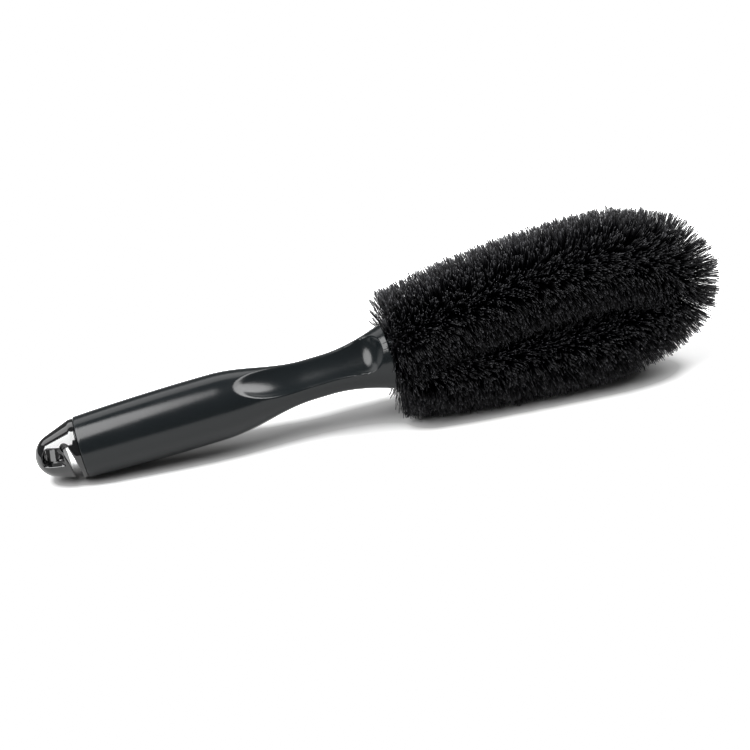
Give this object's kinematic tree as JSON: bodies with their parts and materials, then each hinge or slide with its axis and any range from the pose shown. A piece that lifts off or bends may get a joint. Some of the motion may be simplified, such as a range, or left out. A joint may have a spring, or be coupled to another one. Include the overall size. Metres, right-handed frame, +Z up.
{
  "type": "wheel brush",
  "caption": "Hand brush for car wheels: a moulded handle with a thumb recess and hanging end, and an oval head of bristles on a bent loop of twisted wire.",
  "frame": {"origin": "on the bench, under the middle of the brush's bounding box", "axes": "+X from the hanging end towards the tip of the head, in the plane of the wire loop; +Z up from the bench that the brush lies on; -Y is the side of the thumb recess that faces a viewer"},
  "size_m": [0.2718, 0.0376, 0.0681],
  "materials": {
    "handle_plastic": "moulded polypropylene, satin black",
    "cap_plastic": "moulded ABS, polished black",
    "collar_plastic": "moulded, dull black",
    "sleeve_metal": "plain, crimped",
    "wire_steel": "galvanised",
    "bristle_plastic": "drawn polypropylene filament, black"
  },
  "bodies": {
    "root": {"handle": "handle_plastic", "end_cap": "cap_plastic", "stem_collar": "collar_plastic", "crimp_sleeve": "sleeve_metal", "wire_strand_a": "wire_steel", "wire_strand_b": "wire_steel", "bristles_upper_1": "bristle_plastic", "bristles_upper_2": "bristle_plastic", "bristles_upper_3": "bristle_plastic", "bristles_upper_4": "bristle_plastic", "bristles_upper_5": "bristle_plastic", "bristles_upper_6": "bristle_plastic", "bristles_shoulder_upper": "bristle_plastic", "bristles_tip": "bristle_plastic", "bristles_shoulder_lower": "bristle_plastic", "bristles_lower_1": "bristle_plastic", "bristles_lower_2": "bristle_plastic", "bristles_lower_3": "bristle_plastic", "bristles_lower_4": "bristle_plastic", "bristles_lower_5": "bristle_plastic", "bristles_lower_6": "bristle_plastic"}
  },
  "joints": []
}
